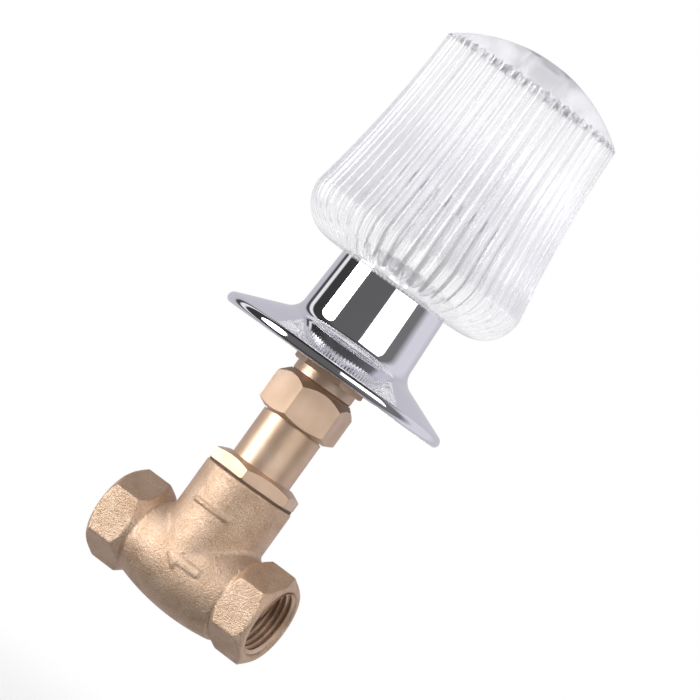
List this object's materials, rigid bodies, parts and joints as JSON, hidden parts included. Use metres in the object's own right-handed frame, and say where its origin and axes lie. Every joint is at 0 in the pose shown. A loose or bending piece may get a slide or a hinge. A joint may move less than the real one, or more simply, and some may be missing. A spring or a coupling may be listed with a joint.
{
  "type": "concealed shower valve",
  "caption": "Concealed shower valve: cast body with two threaded ends, screwed bonnet with rising stem, bell escutcheon with sleeve, and a fluted clear knob.",
  "frame": {"origin": "where the stem's axis crosses the pipe's axis, in the middle of the cast body", "axes": "+Z along the stem towards the knob; +X along the pipe towards the inlet, the outlet is at -X"},
  "size_m": [0.0738, 0.0738, 0.1916],
  "materials": {
    "cast_brass": "sand-cast, bead-blasted",
    "machined_brass": "turned, satin",
    "chrome": "polished chrome plate",
    "clear_acrylic": "clear, polished",
    "white_nylon": "moulded nylon",
    "seat_rubber": "moulded, matt",
    "packing": "graphited yarn",
    "fibre_gasket": "vulcanised fibre",
    "steel": "stainless, turned"
  },
  "bodies": {
    "valve": {"valve_body": "cast_brass", "seat_ring": "machined_brass", "bonnet_gasket": "fibre_gasket", "bonnet": "machined_brass", "gland_nut": "machined_brass", "packing_washer": "steel", "packing_ring_lower": "packing", "packing_ring_middle": "packing", "packing_ring_upper": "packing", "gland_follower": "machined_brass", "lock_nut": "machined_brass", "escutcheon": "chrome", "escutcheon_ferrule": "machined_brass"},
    "plug": {"washer_holder": "machined_brass", "seat_washer": "seat_rubber", "washer_screw": "machined_brass", "holder_clip": "steel"},
    "spindle": {"stem": "machined_brass", "knob": "clear_acrylic", "knob_insert": "white_nylon", "screw_washer": "steel", "knob_screw": "steel", "index_cap": "clear_acrylic"}
  },
  "joints": [
    {"name": "stem_rise", "type": "slide", "parent": "valve", "child": "plug", "axis": [0, 0, 1], "range_m": [0, 0.004]},
    {"name": "handle_turn", "type": "hinge", "parent": "plug", "child": "spindle", "pos_m": [0, 0, 0], "axis": [0, 0, 1], "range_deg": [0, 720]}
  ],
  "couplings": [
    {"joint": "stem_rise", "follows": "handle_turn", "m_per_rad": 0.0003183}
  ]
}
